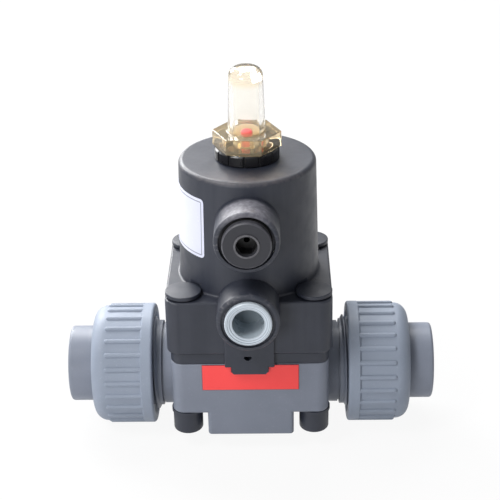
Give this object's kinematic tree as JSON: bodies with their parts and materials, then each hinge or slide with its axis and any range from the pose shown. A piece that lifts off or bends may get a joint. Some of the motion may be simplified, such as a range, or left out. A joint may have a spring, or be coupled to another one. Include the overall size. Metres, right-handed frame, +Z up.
{
  "type": "pneumatic diaphragm valve",
  "caption": "Air-operated weir diaphragm valve with true-union socket ends, sight cap over its indicator rod, air ports in front and a foot with threaded inserts.",
  "frame": {"origin": "centre of the foot's bottom face", "axes": "+X along the flow axis to the right-hand socket, -Y to the side of the air ports, +Z up along the stem"},
  "size_m": [0.128, 0.0635, 0.132],
  "materials": {
    "body_grey": "satin moulded, dark grey",
    "nut_grey": "satin moulded, light blue-grey",
    "black_plastic": "fine matte moulded, blue-black",
    "gloss_black": "smooth, glossy black",
    "white_plastic": "smooth, translucent white",
    "amber_clear": "clear, polished, pale amber",
    "red_plastic": "smooth red",
    "white_nylon": "turned, off-white",
    "rubber_black": "matte black",
    "steel": "machined stainless steel",
    "spring_steel": "drawn spring wire",
    "brass": "turned brass",
    "piston_plastic": "machined dark plastic"
  },
  "bodies": {
    "valve": {"valve_body": "body_grey", "foot_inserts": "brass", "left_union_seal": "rubber_black", "right_union_seal": "rubber_black", "diaphragm": "rubber_black", "stem_seal": "rubber_black", "stem_bush": "white_nylon", "closing_spring_outer": "spring_steel", "closing_spring_inner": "spring_steel", "intermediate_plate": "black_plastic", "plate_seal": "rubber_black", "actuator_housing": "black_plastic", "flange_bolts": "steel", "bolt_washers": "steel", "bolt_nuts": "steel", "bottom_caps": "black_plastic", "top_caps": "black_plastic", "vent_plug": "gloss_black", "vent_plug_seal": "rubber_black", "cap_collar": "gloss_black", "sight_cap_seal": "rubber_black", "sight_cap": "amber_clear"},
    "stem_assembly": {"stem": "steel", "piston": "piston_plastic", "piston_seal": "rubber_black", "piston_nut": "steel", "compressor": "piston_plastic", "compressor_pin": "steel", "diaphragm_stud": "steel", "indicator_rod": "red_plastic"},
    "left_end": {"left_tailpiece": "body_grey"},
    "left_nut": {"left_union_nut": "nut_grey"},
    "right_end": {"right_tailpiece": "body_grey"},
    "right_nut": {"right_union_nut": "nut_grey"},
    "lower_plug": {"port_plug": "white_plastic"}
  },
  "joints": [
    {"name": "stem_stroke", "type": "slide", "parent": "valve", "child": "stem_assembly", "axis": [0, 0, 1], "range_m": [0, 0.006], "stiffness_N_per_m": 6000, "springref_m": -0.02, "deforming": ["diaphragm", "closing_spring_outer", "closing_spring_inner"]},
    {"name": "left_tail_slide", "type": "slide", "parent": "valve", "child": "left_end", "axis": [-1, 0, 0], "range_m": [0, 0.00924]},
    {"name": "left_nut_turn", "type": "hinge", "parent": "left_end", "child": "left_nut", "pos_m": [-0.0446, 0, 0.0147], "axis": [-1, 0, 0], "range_deg": [0, 1440]},
    {"name": "right_tail_slide", "type": "slide", "parent": "valve", "child": "right_end", "axis": [1, 0, 0], "range_m": [0, 0.00924]},
    {"name": "right_nut_turn", "type": "hinge", "parent": "right_end", "child": "right_nut", "pos_m": [0.0446, 0, 0.0147], "axis": [1, 0, 0], "range_deg": [0, 1440]},
    {"name": "port_plug_pull", "type": "slide", "parent": "valve", "child": "lower_plug", "axis": [0, -1, 0], "range_m": [0, 0.02]}
  ],
  "couplings": [
    {"joint": "left_tail_slide", "follows": "left_nut_turn", "m_per_rad": 0.0003675},
    {"joint": "right_tail_slide", "follows": "right_nut_turn", "m_per_rad": 0.0003675}
  ]
}
